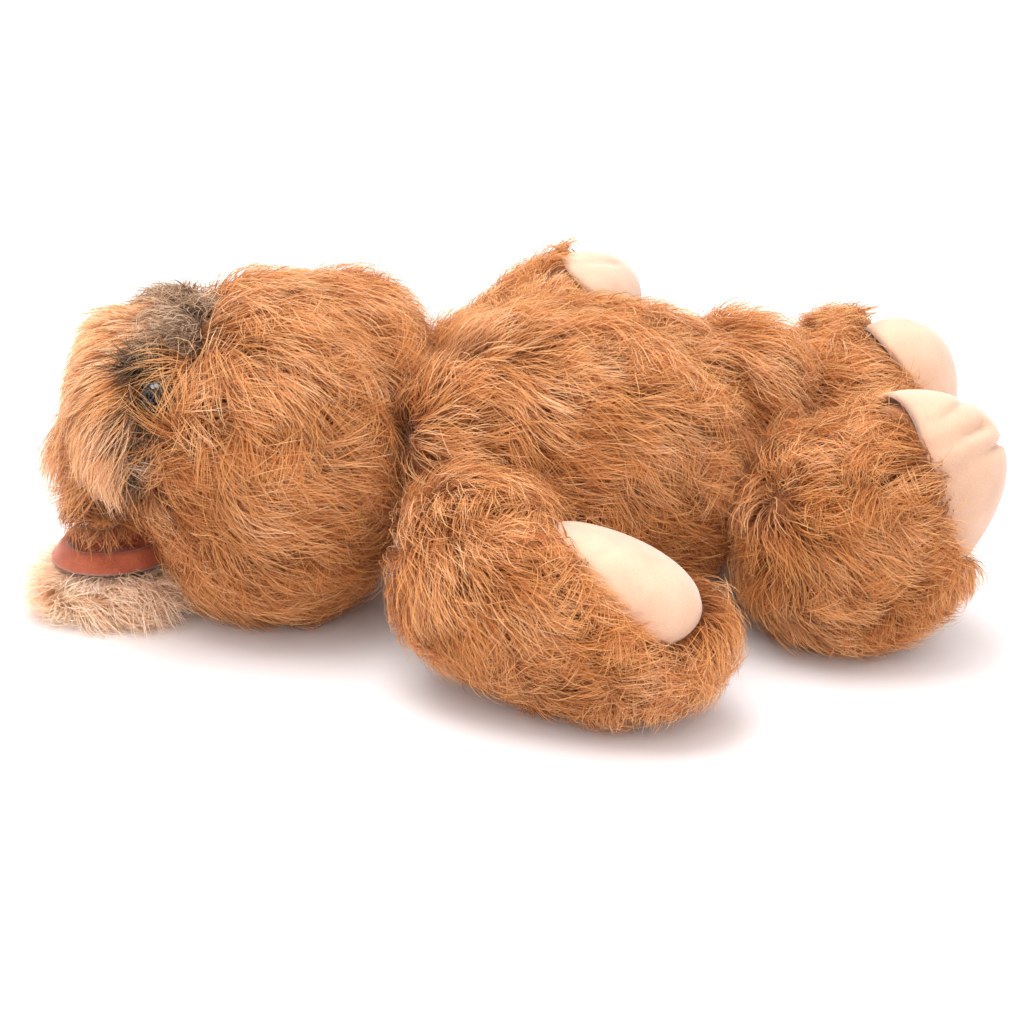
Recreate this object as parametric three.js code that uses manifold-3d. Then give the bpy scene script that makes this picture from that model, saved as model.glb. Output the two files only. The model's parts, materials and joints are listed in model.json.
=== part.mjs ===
// Stuffed long-pile monkey lying on its belly with its chin on the ground.
// Millimetres, +Z up, +X from the head to the feet, -Y is the toy's left side.
// Every stuffed limb is a shell of pile fabric, sewn from panels, round its own filling.
import * as THREE from "three";
import { mergeVertices } from "three/addons/utils/BufferGeometryUtils.js";
import Module from "manifold-3d";

const wasm = await Module();
wasm.setup();

// ---- driving dimensions -------------------------------------------------
const pile = 6; // thickness of the pile fabric, backing and laid fur together
const gap = 0.4; // clearance between sewn neighbours
const swingGap = 1.6; // extra clearance between pieces that move
const bigBox = 900; // side of the boxes that cut along a seam or the ground
const padReach = 60; // depth of the block that cuts a pad's outline
const ringSteps = 16; // facets round a puffed shape
const poleSteps = 9; // facets from pole to pole
const smallRingSteps = 12; // the same, round a shape under smallSize long
const smallPoleSteps = 7;
const smallSize = 42;
const latheSteps = 12;

const headYaw = 8; // degrees, the head looks a little to the toy's left
const neckAt = [-54, 0, 68];
const neckRadius = 19;
const turnRight = 24; // degrees, from the rest pose
const turnLeft = 8;
const nodLimit = 12; // degrees each way

const torso = { at: [28, 0, 66], size: [80, 62, 68], power: 2.4 };
const bellySeam = 30; // height of the seam round the belly panel
const crown = { at: [-113, 0, 74], size: [57, 68, 75], power: 2.2 };
const snout = { at: [-171, 0, 103], size: [28, 52, 38], power: 2.2 };
const brow = { at: [-152, 0, 94], size: [26, 57, 52], power: 2.2 };
const lip = { at: [-190, 0, 53], size: [17, 36, 12], power: 2.2 };
const jaw = { at: [-185, 0, 12], size: [38, 31, 13.5], power: 2.4 };
const jawPile = 4; // the pale pile of the jaw is thinner
const palate = { at: [-180, 0, 40], size: [26, 27, 4], power: 2.3 };
const tongue = { at: [-187, 0, 22.5], size: [31, 24, 4.5], power: 2.3 };
const jawHinge = [-158, 0, 22];
const jawClose = 6; // degrees up
const jawOpen = 10; // degrees down
const bandFront = -171; // front edge of the eye band
const bandTopWidth = 36;
const bandFootWidth = 7;
const bandFootHeight = 40;
const bandTopHeight = 145;
const eye = { at: [-161, 45, 119], radius: 9, collar: 2, stem: 2.2, reach: 15 };
const eyeSplay = 62; // degrees, from straight ahead towards the side
const washer = { outer: 7.5, inner: 2.6, thick: 1.6, behind: 1.6 };
const nose = { at: [-199, 0, 106], size: [5, 10, 7], power: 2.3 };

const arm = { size: [74, 38, 40], power: 2.4 };
const armLeft = { at: [16, -110, 44], pitch: 6, yaw: -20 };
const armRight = { at: [8, 90, 83], pitch: -22, yaw: 47 };
const shoulder = { size: [24, 24, 26], power: 2.2 };
const shoulderLeft = [-22, -64, 60];
const shoulderRight = [-26, 60, 66];
const armOut = 30; // degrees away from the body
const armIn = 4;
const armJointLeft = [-24, -52, 62];
const armJointRight = [-28, 52, 66];
const palm = { length: 38, width: 23, thick: 5.5 };
const palmLeft = { at: [50, -144, 74], facing: [0.1, -0.61, 0.78], along: [0.56, -0.68, -0.48] };
const palmRight = { at: [60, 138, 108], facing: [0.75, 0.2, 0.6], along: [0.3, 0.75, -0.5] };

const leg = { size: [56, 45, 52], power: 2.4 };
const legAt = [149, 50, 51];
const hipAt = [104, 36, 56];
const legLift = 18; // degrees, foot up behind the back
const legDrop = 24; // degrees, foot down towards the belly side
const sole = { at: [187, 55, 82], size: [10, 33, 45], power: 2.2, pitch: -36, yaw: 22 };

const furMaterial = { color: 0xc88a55, roughness: 0.95, metalness: 0 };
const bandMaterial = { color: 0x6b5546, roughness: 0.95, metalness: 0 };
const creamFurMaterial = { color: 0xe3bd94, roughness: 0.95, metalness: 0 };
const velourMaterial = { color: 0xf6dfc2, roughness: 0.9, metalness: 0 };
const liningMaterial = { color: 0xb96748, roughness: 0.9, metalness: 0 };
const fillingMaterial = { color: 0xf2f0ea, roughness: 1, metalness: 0 };
const eyeMaterial = { color: 0x120d0b, roughness: 0.08, metalness: 0 };
const washerMaterial = { color: 0xe6e4dc, roughness: 0.5, metalness: 0 };
const noseMaterial = { color: 0x3a2418, roughness: 0.85, metalness: 0 };

// ---- helpers --------------------------------------------------------------
function solidFrom(geometry) {
  geometry.deleteAttribute("normal");
  geometry.deleteAttribute("uv");
  const merged = mergeVertices(geometry, 1e-4);
  return new wasm.Manifold(
    new wasm.Mesh({
      numProp: 3,
      vertProperties: merged.attributes.position.array,
      triVerts: new Uint32Array(merged.index.array),
    }),
  );
}

// A turn about a point, in degrees: about Y and then Z with order ZYX, Z and then Y with XYZ.
function turnAbout(point, [x = 0, y = 0, z = 0], order = "ZYX") {
  const rad = THREE.MathUtils.degToRad;
  const turn = new THREE.Matrix4().makeRotationFromEuler(
    new THREE.Euler(rad(x), rad(y), rad(z), order),
  );
  const away = new THREE.Matrix4().makeTranslation(...point);
  const back = new THREE.Matrix4().makeTranslation(...point.map((v) => -v));
  return away.multiply(turn).multiply(back);
}

// A puffed, rounded-box shape: power 2 is an ellipsoid, more is squarer.
function puff({ at, size, power, pitch = 0, yaw = 0, grow = 0 }) {
  const small = Math.max(...size) < smallSize;
  const geometry = new THREE.SphereGeometry(
    1,
    small ? smallRingSteps : ringSteps,
    small ? smallPoleSteps : poleSteps,
  );
  const place = geometry.attributes.position;
  const point = new THREE.Vector3();
  for (let i = 0; i < place.count; i += 1) {
    point.fromBufferAttribute(place, i);
    const sum =
      Math.abs(point.x) ** power + Math.abs(point.y) ** power + Math.abs(point.z) ** power;
    point.multiplyScalar(sum ** (-1 / power));
    place.setXYZ(
      i,
      point.x * (size[0] + grow),
      point.y * (size[1] + grow),
      point.z * (size[2] + grow),
    );
  }
  geometry.applyMatrix4(turnAbout([0, 0, 0], [0, pitch, yaw]));
  geometry.translate(...at);
  return solidFrom(geometry);
}

// The space on one side of a plane: the side the normal points to.
function sideOf(point, normal) {
  const out = new THREE.Vector3(...normal).normalize();
  const geometry = new THREE.BoxGeometry(bigBox, bigBox, bigBox);
  geometry.translate(0, 0, bigBox / 2);
  geometry.applyQuaternion(
    new THREE.Quaternion().setFromUnitVectors(new THREE.Vector3(0, 0, 1), out),
  );
  geometry.translate(...point);
  return solidFrom(geometry);
}

const aboveGround = sideOf([0, 0, 0], [0, 0, 1]);
const fillingFloor = sideOf([0, 0, pile + gap], [0, 0, 1]);

function ballAt(at, radius) {
  return puff({ at, size: [radius, radius, radius], power: 2 });
}

// Cuts from a solid the room that an obstacle sweeps, seen from the moving piece.
function clearSweep(solid, obstacle, pivot, turns) {
  let cleared = solid;
  for (const turn of turns) {
    const moved = obstacle.transform(turnAbout(pivot, turn, "XYZ").elements);
    cleared = cleared.subtract(moved);
  }
  return cleared;
}

// The largest closed body of a solid, without slivers.
function mainBody(solid) {
  const bodies = solid.decompose();
  bodies.sort((a, b) => b.volume() - a.volume());
  return bodies[0];
}

function meshFrom(name, solid, finish, origin) {
  const { vertProperties, triVerts } = mainBody(solid).getMesh();
  const geometry = new THREE.BufferGeometry();
  geometry.setAttribute("position", new THREE.BufferAttribute(vertProperties, 3));
  geometry.setIndex(new THREE.BufferAttribute(triVerts, 1));
  geometry.translate(...origin.map((v) => -v));
  geometry.computeVertexNormals();
  const mesh = new THREE.Mesh(geometry, new THREE.MeshStandardMaterial(finish));
  mesh.name = name;
  return mesh;
}

// A group that turns about its own origin, as its sewn joint does.
function jointGroup(at) {
  const group = new THREE.Group();
  group.position.set(...at);
  return group;
}

const mirrored = ([x, y, z], side) => [x, side * y, z];

// ---- torso ----------------------------------------------------------------
function makeTorso(group) {
  const neckRoom = ballAt(neckAt, neckRadius + swingGap);
  const outer = puff(torso).intersect(aboveGround);
  const core = puff({ ...torso, grow: -pile }).intersect(fillingFloor);
  const shell = outer.subtract(core).subtract(neckRoom);
  const back = shell.intersect(sideOf([0, 0, bellySeam + gap / 2], [0, 0, 1]));
  const belly = shell.intersect(sideOf([0, 0, bellySeam - gap / 2], [0, 0, -1]));
  const backLeft = back.intersect(sideOf([0, -gap / 2, 0], [0, -1, 0]));
  const backRight = back.intersect(sideOf([0, gap / 2, 0], [0, 1, 0]));
  const filling = puff({ ...torso, grow: -pile - gap })
    .intersect(sideOf([0, 0, pile + 2 * gap], [0, 0, 1]))
    .subtract(neckRoom);
  group.add(
    meshFrom("back_panel_left", backLeft, furMaterial, [0, 0, 0]),
    meshFrom("back_panel_right", backRight, furMaterial, [0, 0, 0]),
    meshFrom("belly_panel", belly, furMaterial, [0, 0, 0]),
    meshFrom("torso_filling", filling, fillingMaterial, [0, 0, 0]),
  );
}

// ---- head -----------------------------------------------------------------
// Lathe along +X: a domed head, a neck and a stem, as a moulded safety eye.
function eyeSolid(side, grow) {
  const r = eye.radius + grow;
  const stem = eye.stem + grow;
  const profile = [];
  const domeSteps = 4;
  for (let i = 0; i <= domeSteps; i += 1) {
    const angle = (i / domeSteps) * (Math.PI / 2);
    profile.push(new THREE.Vector2(r * Math.sin(angle), -r * Math.cos(angle)));
  }
  profile.push(new THREE.Vector2(r * 0.9, eye.collar + grow));
  profile.push(new THREE.Vector2(stem, eye.collar + grow));
  profile.push(new THREE.Vector2(stem, eye.reach + grow));
  profile.push(new THREE.Vector2(0, eye.reach + grow));
  const geometry = new THREE.LatheGeometry(profile, latheSteps);
  return placedAtEye(geometry, side);
}

function placedAtEye(geometry, side) {
  geometry.rotateZ(-Math.PI / 2); // the dome now looks along -X, the stem along +X
  geometry.rotateZ(THREE.MathUtils.degToRad(-side * eyeSplay));
  geometry.translate(...mirrored(eye.at, side));
  return solidFrom(geometry);
}

function washerSolid(side, grow) {
  const near = pile + washer.behind - grow;
  const far = pile + washer.behind + washer.thick + grow;
  const bore = Math.max(washer.inner - grow, 0.5);
  const ring = [
    new THREE.Vector2(bore, near),
    new THREE.Vector2(bore, far),
    new THREE.Vector2(washer.outer + grow, far),
    new THREE.Vector2(washer.outer + grow, near),
    new THREE.Vector2(bore, near),
  ];
  return placedAtEye(new THREE.LatheGeometry(ring.reverse(), latheSteps), side);
}

// Obstacle turns, in the head's own frame, for every corner of the neck's motion.
function neckTurns() {
  const turns = [];
  for (const nod of [-nodLimit, 0, nodLimit]) {
    for (const turn of [-turnRight, -turnLeft, turnLeft]) {
      turns.push([0, -nod, -turn - headYaw]);
    }
  }
  return turns;
}

function makeHead(group, jawGroup) {
  const neckRoom = ballAt(neckAt, neckRadius + swingGap);
  const clearOfTorso = (solid, grow) =>
    clearSweep(solid, puff({ ...torso, grow }), neckAt, neckTurns());
  const headShape = (grow) =>
    puff({ ...crown, grow }).add(puff({ ...snout, grow })).add(puff({ ...brow, grow }));
  const body = clearOfTorso(headShape(0), swingGap).intersect(aboveGround).subtract(neckRoom);
  const coreOf = (extra) =>
    clearOfTorso(headShape(-pile - extra), swingGap + pile + extra)
      .intersect(sideOf([0, 0, pile + extra], [0, 0, 1]))
      .subtract(neckRoom);
  const eyeRoom = eyeSolid(-1, gap).add(eyeSolid(1, gap));
  const washerRoom = washerSolid(-1, gap).add(washerSolid(1, gap));
  const noseRoom = puff({ ...nose, grow: gap });
  const shell = body.subtract(coreOf(0)).subtract(eyeRoom).subtract(noseRoom).subtract(washerRoom);

  const backTop = [bandFront + bandTopWidth, 0, bandTopHeight];
  const backFoot = [bandFront + bandFootWidth, 0, bandFootHeight];
  const slope = [backTop[2] - backFoot[2], 0, backFoot[0] - backTop[0]];
  const flipped = slope.map((v) => -v);
  const bandZone = (grow) =>
    sideOf([bandFront - grow, 0, 0], [1, 0, 0])
      .intersect(sideOf([backFoot[0] + grow, 0, backFoot[2]], flipped))
      .intersect(sideOf([0, 0, bandFootHeight - grow], [0, 0, 1]));
  const front = shell.intersect(sideOf([bandFront - gap, 0, 0], [-1, 0, 0]));
  const band = shell.intersect(bandZone(0));
  const rear = shell.intersect(sideOf([bandFront, 0, 0], [1, 0, 0])).subtract(bandZone(gap));

  for (const [side, label] of [[-1, "left"], [1, "right"]]) {
    const half = sideOf([0, (side * gap) / 2, 0], [0, side, 0]);
    group.add(
      meshFrom(`head_panel_${label}`, rear.intersect(half), furMaterial, neckAt),
      meshFrom(`snout_panel_${label}`, front.intersect(half), furMaterial, neckAt),
      meshFrom(`eye_${label}`, eyeSolid(side, 0), eyeMaterial, neckAt),
      meshFrom(`eye_washer_${label}`, washerSolid(side, 0), washerMaterial, neckAt),
    );
  }
  group.add(
    meshFrom("eye_band", band, bandMaterial, neckAt),
    meshFrom(
      "head_filling",
      coreOf(gap).subtract(eyeRoom).subtract(washerRoom).subtract(noseRoom),
      fillingMaterial,
      neckAt,
    ),
    meshFrom("nose", puff(nose), noseMaterial, neckAt),
  );

  // the open mouth: fur lip and palate lining above, jaw below
  const headRoom = headShape(gap);
  const lipSolid = puff(lip).subtract(headRoom);
  const palateSolid = puff(palate).subtract(headRoom).subtract(puff({ ...lip, grow: gap }));
  group.add(
    meshFrom("upper_lip", lipSolid, furMaterial, neckAt),
    meshFrom("palate_lining", palateSolid, liningMaterial, neckAt),
  );
  const jawObstacle = headShape(swingGap)
    .add(puff({ ...lip, grow: swingGap }))
    .add(puff({ ...palate, grow: swingGap }));
  makeJaw(jawGroup, jawObstacle);
}

// ---- lower jaw --------------------------------------------------------------
function makeJaw(group, obstacle) {
  const turns = [[0, -jawClose, 0], [0, 0, 0], [0, jawOpen, 0]];
  const room = clearSweep(puff(jaw), obstacle, jawHinge, turns).intersect(aboveGround);
  const lining = clearSweep(puff(tongue), obstacle, jawHinge, turns);
  const core = { ...jaw, grow: -jawPile };
  const filling = puff({ ...jaw, grow: -jawPile - gap })
    .intersect(sideOf([0, 0, jawPile + gap], [0, 0, 1]))
    .subtract(puff({ ...tongue, grow: gap }));
  const inside = puff(core).intersect(sideOf([0, 0, jawPile], [0, 0, 1]));
  const cup = room.subtract(inside).subtract(puff({ ...tongue, grow: gap }));
  group.add(
    meshFrom("jaw_panel", cup, creamFurMaterial, jawHinge),
    meshFrom("jaw_lining", lining, liningMaterial, jawHinge),
    meshFrom("jaw_filling", filling, fillingMaterial, jawHinge),
  );
}

// ---- arms -------------------------------------------------------------------
// An oval block that stands on a limb's surface, to cut a sewn pad from a grown limb.
function ovalBlock({ at, facing, along }, length, width) {
  const outline = new THREE.Shape();
  outline.absellipse(0, 0, length, width, 0, Math.PI * 2, false, 0);
  const geometry = new THREE.ExtrudeGeometry(outline, {
    depth: padReach,
    bevelEnabled: false,
    curveSegments: 6,
  });
  geometry.translate(0, 0, -padReach / 2);
  const up = new THREE.Vector3(...facing).normalize();
  const right = new THREE.Vector3(...along).projectOnPlane(up).normalize();
  const back = new THREE.Vector3().crossVectors(up, right);
  geometry.applyMatrix4(new THREE.Matrix4().makeBasis(right, back, up));
  geometry.translate(...at);
  return solidFrom(geometry);
}

function makeArm(group, label, place, shoulderAt, padPlace, turnSign) {
  const whole = (grow) =>
    puff({ ...arm, ...place, grow }).add(puff({ ...shoulder, at: shoulderAt, grow }));
  const turns = [[0, 0, 0], [0, 0, (turnSign * armOut) / 2], [0, 0, turnSign * armOut]];
  turns.push([0, 0, -turnSign * armIn]);
  const cleared = (solid, grow) =>
    clearSweep(solid, puff({ ...torso, grow }), group.position.toArray(), turns);
  const outer = cleared(whole(0), swingGap).intersect(aboveGround);
  const core = cleared(whole(-pile), swingGap + pile).intersect(fillingFloor);
  const filling = cleared(whole(-pile - gap), swingGap + pile + gap).intersect(
    sideOf([0, 0, pile + 2 * gap], [0, 0, 1]),
  );
  const block = (length, width) => ovalBlock(padPlace, length, width);
  const padRoom = block(palm.length, palm.width).subtract(whole(-pile / 2));
  const pad = block(palm.length - gap, palm.width - gap)
    .intersect(whole(palm.thick - pile / 2))
    .subtract(whole(-pile / 2 + gap));
  const shell = outer.subtract(core).subtract(padRoom);
  const seamAt = place.at[2];
  const panels = {
    back: shell.intersect(sideOf([0, 0, seamAt + gap / 2], [0, 0, 1])),
    front: shell.intersect(sideOf([0, 0, seamAt - gap / 2], [0, 0, -1])),
  };
  const origin = group.position.toArray();
  for (const [panel, solid] of Object.entries(panels)) {
    group.add(meshFrom(`arm_${label}_${panel}_panel`, solid, furMaterial, origin));
  }
  group.add(
    meshFrom(`arm_${label}_filling`, filling, fillingMaterial, origin),
    meshFrom(`palm_${label}`, pad, velourMaterial, origin),
  );
}

// ---- legs -------------------------------------------------------------------
function makeLeg(group, label, side) {
  const at = mirrored(legAt, side);
  const whole = (grow) => puff({ ...leg, at, grow });
  const pivot = group.position.toArray();
  const turns = [[0, -legDrop, 0], [0, 0, 0], [0, legLift, 0]];
  const cleared = (solid, grow) =>
    clearSweep(solid, puff({ ...torso, grow }), pivot, turns);
  const outer = cleared(whole(0), swingGap).intersect(aboveGround);
  const core = cleared(whole(-pile), swingGap + pile).intersect(fillingFloor);
  const filling = cleared(whole(-pile - gap), swingGap + pile + gap).intersect(
    sideOf([0, 0, pile + 2 * gap], [0, 0, 1]),
  );
  const solePlace = { ...sole, at: mirrored(sole.at, side), yaw: side * sole.yaw };
  const soleRoom = puff({ ...solePlace, grow: gap });
  const footRoom = cleared(whole(-pile + gap), swingGap);
  const pad = puff(solePlace).subtract(footRoom);
  const shell = outer.subtract(core).subtract(soleRoom);
  const panels = {
    outer: shell.intersect(sideOf([0, at[1] + (side * gap) / 2, 0], [0, side, 0])),
    inner: shell.intersect(sideOf([0, at[1] - (side * gap) / 2, 0], [0, -side, 0])),
  };
  for (const [panel, solid] of Object.entries(panels)) {
    group.add(meshFrom(`leg_${label}_${panel}_panel`, solid, furMaterial, pivot));
  }
  group.add(
    meshFrom(`leg_${label}_filling`, filling, fillingMaterial, pivot),
    meshFrom(`sole_${label}`, pad, velourMaterial, pivot),
  );
}

// ---- the whole monkey ---------------------------------------------------------
const monkey = new THREE.Group();
makeTorso(monkey);

const head = jointGroup(neckAt);
head.rotation.z = THREE.MathUtils.degToRad(headYaw);
const jawJoint = jointGroup(jawHinge.map((v, i) => v - neckAt[i]));
head.add(jawJoint);
head.add(meshFrom("neck_filling", ballAt(neckAt, neckRadius), fillingMaterial, neckAt));
makeHead(head, jawJoint);
monkey.add(head);

const armGroupLeft = jointGroup(armJointLeft);
makeArm(armGroupLeft, "left", armLeft, shoulderLeft, palmLeft, 1);
monkey.add(armGroupLeft);
const armGroupRight = jointGroup(armJointRight);
makeArm(armGroupRight, "right", armRight, shoulderRight, palmRight, -1);
monkey.add(armGroupRight);

for (const [side, label] of [[-1, "left"], [1, "right"]]) {
  const hip = jointGroup(mirrored(hipAt, side));
  makeLeg(hip, label, side);
  monkey.add(hip);
}

// The frame's origin is the middle of the foot of the whole toy's box.
const part = new THREE.Group();
part.add(monkey);
part.updateMatrixWorld(true);
const extent = new THREE.Box3().setFromObject(monkey, true);
const middle = extent.getCenter(new THREE.Vector3());
monkey.position.set(-middle.x, -middle.y, -extent.min.z);

export default part;
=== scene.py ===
# Stuffed long-pile monkey lying on its belly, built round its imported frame
import bpy
import bmesh
import json
import math
import numpy as np
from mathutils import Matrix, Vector, kdtree
from mathutils.bvhtree import BVHTree


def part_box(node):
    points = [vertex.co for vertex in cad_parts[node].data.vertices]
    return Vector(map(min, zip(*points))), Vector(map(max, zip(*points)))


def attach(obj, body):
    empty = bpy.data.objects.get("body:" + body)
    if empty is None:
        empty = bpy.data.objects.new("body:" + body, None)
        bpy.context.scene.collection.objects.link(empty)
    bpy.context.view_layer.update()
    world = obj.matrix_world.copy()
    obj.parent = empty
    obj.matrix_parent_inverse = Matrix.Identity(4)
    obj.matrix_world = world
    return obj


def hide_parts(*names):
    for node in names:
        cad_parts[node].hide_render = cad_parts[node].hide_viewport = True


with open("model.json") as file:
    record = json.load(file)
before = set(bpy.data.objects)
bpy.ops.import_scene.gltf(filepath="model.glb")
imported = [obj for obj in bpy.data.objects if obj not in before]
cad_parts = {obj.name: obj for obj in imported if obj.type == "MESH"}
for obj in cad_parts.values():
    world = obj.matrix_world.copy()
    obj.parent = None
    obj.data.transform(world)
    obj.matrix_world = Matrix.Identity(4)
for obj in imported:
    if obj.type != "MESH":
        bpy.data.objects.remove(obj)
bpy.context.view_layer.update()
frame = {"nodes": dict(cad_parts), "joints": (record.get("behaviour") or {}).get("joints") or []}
rng = np.random.default_rng(41)
mm = 0.001


def hexColour(text):
    values = [int(text[i:i + 2], 16) / 255 for i in (0, 2, 4)]
    return [v / 12.92 if v <= 0.04045 else ((v + 0.055) / 1.055) ** 2.4 for v in values] + [1.0]


def addNode(tree, kind, values={}, feeds={}, **settings):
    node = tree.nodes.new(kind)
    for name, value in settings.items():
        setattr(node, name, value)
    for name, value in values.items():
        node.inputs[name].default_value = value
    for name, socket in feeds.items():
        tree.links.new(socket, node.inputs[name])
    return node


def newMaterial(name):
    material = bpy.data.materials.new(name)
    material.use_nodes = True
    tree = material.node_tree
    tree.nodes.clear()
    return material, tree


def setStops(ramp, stops):
    while len(ramp.elements) < len(stops):
        ramp.elements.new(0.5)
    for element, (place, colour) in zip(ramp.elements, stops):
        element.position = place
        element.color = hexColour(colour) if isinstance(colour, str) else colour


def linkObject(name, mesh):
    obj = bpy.data.objects.new(name, mesh)
    bpy.context.scene.collection.objects.link(obj)
    return obj


def unit(vectors):
    return vectors / np.maximum(np.linalg.norm(vectors, axis=-1, keepdims=True), 1e-9)


def nodeBox(*names):
    boxes = [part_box(name) for name in names]
    low = np.min([np.array(b[0]) for b in boxes], axis=0)
    high = np.max([np.array(b[1]) for b in boxes], axis=0)
    return low, high


def nodePoints(*names):
    found = []
    for name in names:
        mesh = frame["nodes"][name].data
        co = np.empty(len(mesh.vertices) * 3)
        mesh.vertices.foreach_get("co", co)
        found.append(co.reshape(-1, 3))
    return np.concatenate(found)


noiseOctaves = (1.0, 1.7, 2.6)
noiseLevel = 1.4  # brings the sum of the octaves back to about +-1
fullTurn = 6.28


def smoothNoise(points, wavelength, seed, channels=3):
    # a few crossed sine waves: a soft, repeatable wander
    own = np.random.default_rng(seed)
    total = np.zeros((len(points), channels))
    for octave in noiseOctaves:
        for c in range(channels):
            direction = unit(own.normal(size=3)) * 2 * math.pi * octave / wavelength
            total[:, c] += np.sin(points @ direction + own.uniform(0, fullTurn)) / octave
    return total / noiseLevel


studio = {
    "lookAt": (-0.001, 0.0025, 0.0374),
    "distance": 1.0,
    "elevation": 25.0,  # degrees above the floor
    "lens": 75.8,
    "sensor": 36,
    "farClip": 50,
    "worldColour": "FFFFFF",
    "worldBelow": 0.68,  # strength of the surrounding light, at and below the horizon
    "worldAbove": 1.85,  # and straight overhead
    "floorColour": "EAE5E5",
    "floorRoughness": 0.9,
    "floorShine": 0.2,
    "floorSize": 6.0,
    "keyPower": 20.0,
    "keyAt": (-0.35, 0.05, 1.5),
    "keySize": 1.1,
    "fillPower": 2.5,
    "fillAt": (0.3, -1.5, 0.9),
    "fillSize": 1.2,
    "lampsAimAt": (0, 0, 0.05),
}


def makeCamera():
    data = bpy.data.cameras.new("camera")
    data.lens = studio["lens"]
    data.sensor_width = studio["sensor"]
    data.clip_end = studio["farClip"]
    camera = bpy.data.objects.new("camera", data)
    bpy.context.scene.collection.objects.link(camera)
    angle = math.radians(studio["elevation"])
    target = Vector(studio["lookAt"])
    away = Vector((0, -math.cos(angle), math.sin(angle)))
    camera.location = target + away * studio["distance"]
    camera.rotation_euler = (-away).to_track_quat("-Z", "Y").to_euler()
    bpy.context.scene.camera = camera


def makeLamp(name, power, at, size):
    data = bpy.data.lights.new(name, "AREA")
    data.energy = power
    data.shape = "SQUARE"
    data.size = size
    lamp = bpy.data.objects.new(name, data)
    bpy.context.scene.collection.objects.link(lamp)
    lamp.location = at
    aim = Vector(studio["lampsAimAt"]) - Vector(at)
    lamp.rotation_euler = aim.to_track_quat("-Z", "Y").to_euler()


def makeStudio():
    makeCamera()
    makeLamp("keyLight", studio["keyPower"], studio["keyAt"], studio["keySize"])
    makeLamp("fillLight", studio["fillPower"], studio["fillAt"], studio["fillSize"])
    world = bpy.data.worlds.new("studioWorld")
    bpy.context.scene.world = world
    world.use_nodes = True
    sky = world.node_tree
    background = sky.nodes["Background"]
    background.inputs["Color"].default_value = hexColour(studio["worldColour"])
    facing = addNode(sky, "ShaderNodeTexCoord")
    upward = addNode(sky, "ShaderNodeSeparateXYZ", feeds={"Vector": facing.outputs["Generated"]})
    dome = addNode(sky, "ShaderNodeMapRange", {
        "From Min": 0.0, "From Max": 1.0, "To Min": studio["worldBelow"],
        "To Max": studio["worldAbove"]}, {"Value": upward.outputs["Z"]})
    sky.links.new(dome.outputs[0], background.inputs["Strength"])
    bpy.context.scene.view_settings.view_transform = "Standard"
    mesh = bpy.data.meshes.new("floor")
    half = studio["floorSize"] / 2
    corners = [(-half, -half, 0), (half, -half, 0), (half, half, 0), (-half, half, 0)]
    mesh.from_pydata(corners, [], [(0, 1, 2, 3)])
    floor = linkObject("floor", mesh)
    material, tree = newMaterial("matteWhiteBoard")
    shader = addNode(tree, "ShaderNodeBsdfPrincipled", {
        "Base Color": hexColour(studio["floorColour"]),
        "Roughness": studio["floorRoughness"],
        "Specular IOR Level": studio["floorShine"]})
    addNode(tree, "ShaderNodeOutputMaterial", feeds={"Surface": shader.outputs[0]})
    mesh.materials.append(material)


makeStudio()
print("studio ready")


# Acrylic long pile: knife-cut fibres, darker at the root and pale at the tip, which is painted
# shade deep in the pile and a painted highlight on the tips.
# u runs over the dye lot's shades and v from root to tip of every tuft.
pileLook = {
    "brownPile": ["B0632A", "D48C4A", "E8A968", "F3BE88", "FAD3AB"],
    # the lip's pile is the brown pile darkened, painted shade under the overhanging snout
    "lipPileInShade": ["96582A", "BC763C", "D6945A", "E3AD7C", "EDC49C"],
    "bandPile": ["1A1412", "54402F", "A07B5C", "D3AC8A", "F0D2B4"],
    "creamPile": ["FAD8B4", "FDE4C8", "FFEEDA", "FFF4E4", "FFFAF0"],
}
pileSurface = {
    "seenThrough": 0.35,  # share of light a thin fibre passes on
    "roughness": 0.55,
    "shine": 0.35,
    "sheen": 0.25,
    "sheenRoughness": 0.4,
    "streaks": (900, 6, 1),  # flecks across the shades, along a fibre
    "fleckDark": 0.88,
    "fleckLight": 1.1,
}
pileDepthShadeStops = (0.0, 0.33, 0.67, 1.0)
pileDepthShadeAndTipHighlight = {  # tint at the root, a third up, two thirds up and at the tip: painted shade low in the pile, painted highlight at the tip
    "brownPile": [(0.34, 0.22, 0.13), (0.68, 0.54, 0.42), (1.0, 0.98, 0.96), (1.16, 1.3, 1.5)],
    "lipPileInShade": [(0.3, 0.2, 0.14), (0.6, 0.5, 0.42), (0.9, 0.86, 0.82), (1.15, 1.2, 1.25)],
    "bandPile": [(0.25, 0.22, 0.2), (0.5, 0.46, 0.44), (0.9, 0.9, 0.9), (1.25, 1.28, 1.3)],
    "creamPile": [(0.86, 0.7, 0.57), (0.96, 0.87, 0.78), (1.04, 0.99, 0.95), (1.14, 1.1, 1.1)],
}
pileUv = "OFBake"


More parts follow.
